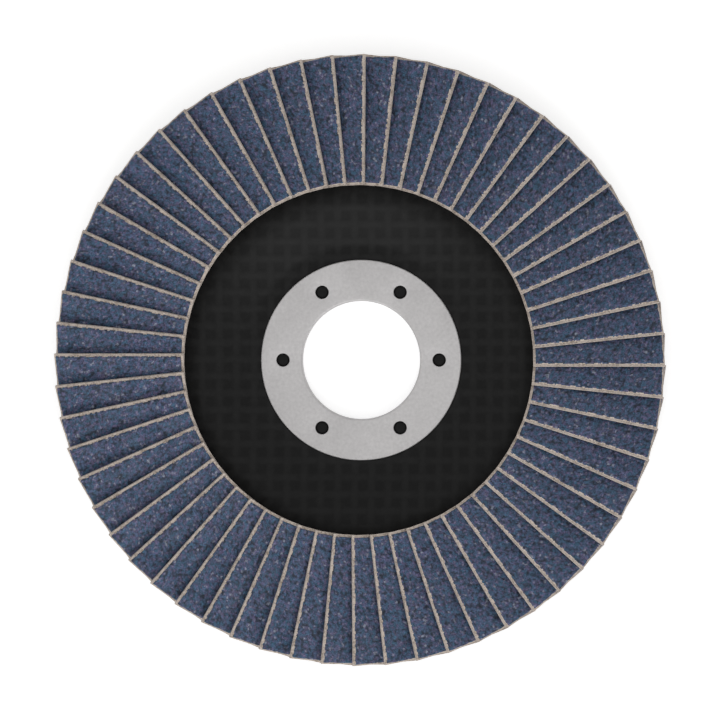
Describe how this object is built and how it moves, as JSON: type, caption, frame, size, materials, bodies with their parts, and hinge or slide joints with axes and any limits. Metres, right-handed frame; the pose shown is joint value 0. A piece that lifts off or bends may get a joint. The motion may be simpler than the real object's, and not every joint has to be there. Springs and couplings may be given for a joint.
{
  "type": "flap disc",
  "caption": "Abrasive flap disc: overlapping coated-cloth flaps set round the coned rim of a dished backing plate with a steel-lined centre bore.",
  "frame": {"origin": "centre of the bore at the hub's back face", "axes": "+Z along the bore axis towards the abrasive face, +X through one of the ring's key holes"},
  "size_m": [0.1152, 0.1152, 0.0117],
  "materials": {
    "plate_resin": "black glass-fibre reinforced resin, satin, with a fine square mesh",
    "ring_steel": "pressed steel with a matt light grey plating",
    "adhesive": "dark cured epoxy, slightly glossy",
    "abrasive_cloth": "blue-grey grit on a beige woven cloth, matt with fine sparkling grain"
  },
  "bodies": {
    "root": {"backing_plate": "plate_resin", "centre_ring": "ring_steel", "adhesive_bed": "adhesive", "flap_pair_01": "abrasive_cloth", "flap_pair_02": "abrasive_cloth", "flap_pair_03": "abrasive_cloth", "flap_pair_04": "abrasive_cloth", "flap_pair_05": "abrasive_cloth", "flap_pair_06": "abrasive_cloth", "flap_pair_07": "abrasive_cloth", "flap_pair_08": "abrasive_cloth", "flap_pair_09": "abrasive_cloth", "flap_pair_10": "abrasive_cloth", "flap_pair_11": "abrasive_cloth", "flap_pair_12": "abrasive_cloth", "flap_pair_13": "abrasive_cloth", "flap_pair_14": "abrasive_cloth", "flap_pair_15": "abrasive_cloth", "flap_pair_16": "abrasive_cloth", "flap_pair_17": "abrasive_cloth", "flap_pair_18": "abrasive_cloth", "flap_pair_19": "abrasive_cloth", "flap_pair_20": "abrasive_cloth", "flap_pair_21": "abrasive_cloth", "flap_pair_22": "abrasive_cloth", "flap_pair_23": "abrasive_cloth", "flap_pair_24": "abrasive_cloth", "flap_pair_25": "abrasive_cloth", "flap_pair_26": "abrasive_cloth", "flap_pair_27": "abrasive_cloth", "flap_pair_28": "abrasive_cloth", "flap_pair_29": "abrasive_cloth", "flap_pair_30": "abrasive_cloth"}
  },
  "joints": []
}
